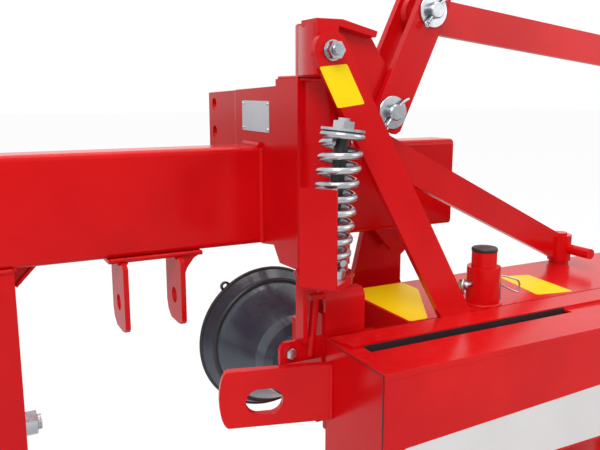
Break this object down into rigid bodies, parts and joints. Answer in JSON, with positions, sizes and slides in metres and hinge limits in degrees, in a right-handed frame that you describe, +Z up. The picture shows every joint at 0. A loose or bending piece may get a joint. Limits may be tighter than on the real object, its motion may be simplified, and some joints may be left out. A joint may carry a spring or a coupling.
{
  "type": "rotary drum mower",
  "caption": "Tractor-mounted rotary drum mower: box-section headstock with mast plates, swinging head of bars, input shaft in a bell guard, gear beam, drums with knives on skid dishes.",
  "frame": {"origin": "centre of the free end of the input shaft", "axes": "+X outwards along the cutting unit, +Y forward to the tractor, +Z up"},
  "size_m": [2.063, 0.894, 1.0402],
  "materials": {
    "red_paint": "gloss",
    "zinc": "satin",
    "bare_steel": "satin",
    "dish_steel": "satin",
    "bell_plastic": "gloss"
  },
  "bodies": {
    "headstock": {"cross_beam": "red_paint", "left_leg": "red_paint", "right_leg": "red_paint", "hitch_pin_left": "zinc", "hitch_pin_right": "zinc", "mast_plate_left": "red_paint", "mast_plate_right": "red_paint", "swing_post": "red_paint", "clevis_lugs": "red_paint"},
    "cutting_unit": {"swing_head": "red_paint", "hinge_block": "red_paint", "stay_bar": "red_paint", "stay_bolt": "zinc", "lever_rear": "red_paint", "lever_front": "red_paint", "lever_pin_lower": "zinc", "lever_pin_upper": "zinc", "long_link": "red_paint", "diagonal_arm": "red_paint", "spring_rod": "zinc", "relief_spring": "zinc", "spring_guard": "red_paint", "input_guard": "bell_plastic", "deck_cover": "red_paint", "gear_beam": "red_paint", "rear_box": "red_paint", "guard_socket": "red_paint", "outer_tower": "red_paint", "tower_pin": "zinc", "eye_plate": "red_paint"},
    "guard_post": {"guard_post": "red_paint"},
    "input_shaft": {"input_shaft": "bare_steel"},
    "drum_left_rotor": {"drum_left": "red_paint", "disc_left": "red_paint", "drum_shaft_left": "bare_steel", "knife_left_a": "bare_steel", "knife_left_b": "bare_steel", "knife_left_c": "bare_steel"},
    "drum_right_rotor": {"drum_right": "red_paint", "disc_right": "red_paint", "drum_shaft_right": "bare_steel", "knife_right_a": "bare_steel", "knife_right_b": "bare_steel", "knife_right_c": "bare_steel"},
    "skid_left": {"skid_dish_left": "dish_steel"},
    "skid_right": {"skid_dish_right": "dish_steel"}
  },
  "joints": [
    {"name": "swing", "type": "hinge", "parent": "headstock", "child": "cutting_unit", "pos_m": [0, -0.15, 0.171], "axis": [0, 0, 1], "range_deg": [-90, 0]},
    {"name": "input_spin", "type": "hinge", "parent": "cutting_unit", "child": "input_shaft", "pos_m": [0, -0.15, 0], "axis": [0, 1, 0], "continuous": true},
    {"name": "drum_left_spin", "type": "hinge", "parent": "cutting_unit", "child": "drum_left_rotor", "pos_m": [0.33, -0.124, -0.129], "axis": [0, 0, 1], "continuous": true},
    {"name": "drum_right_spin", "type": "hinge", "parent": "cutting_unit", "child": "drum_right_rotor", "pos_m": [1.16, -0.124, -0.129], "axis": [0, 0, 1], "continuous": true},
    {"name": "skid_left_spin", "type": "hinge", "parent": "drum_left_rotor", "child": "skid_left", "pos_m": [0.33, -0.124, -0.469], "axis": [0, 0, 1], "continuous": true},
    {"name": "skid_right_spin", "type": "hinge", "parent": "drum_right_rotor", "child": "skid_right", "pos_m": [1.16, -0.124, -0.469], "axis": [0, 0, 1], "continuous": true},
    {"name": "guard_post_slide", "type": "slide", "parent": "cutting_unit", "child": "guard_post", "axis": [0, 0, 1], "range_m": [0, 0.08]}
  ],
  "couplings": [
    {"joint": "drum_right_spin", "follows": "drum_left_spin", "ratio": -1},
    {"joint": "input_spin", "follows": "drum_left_spin", "ratio": 0.3}
  ]
}
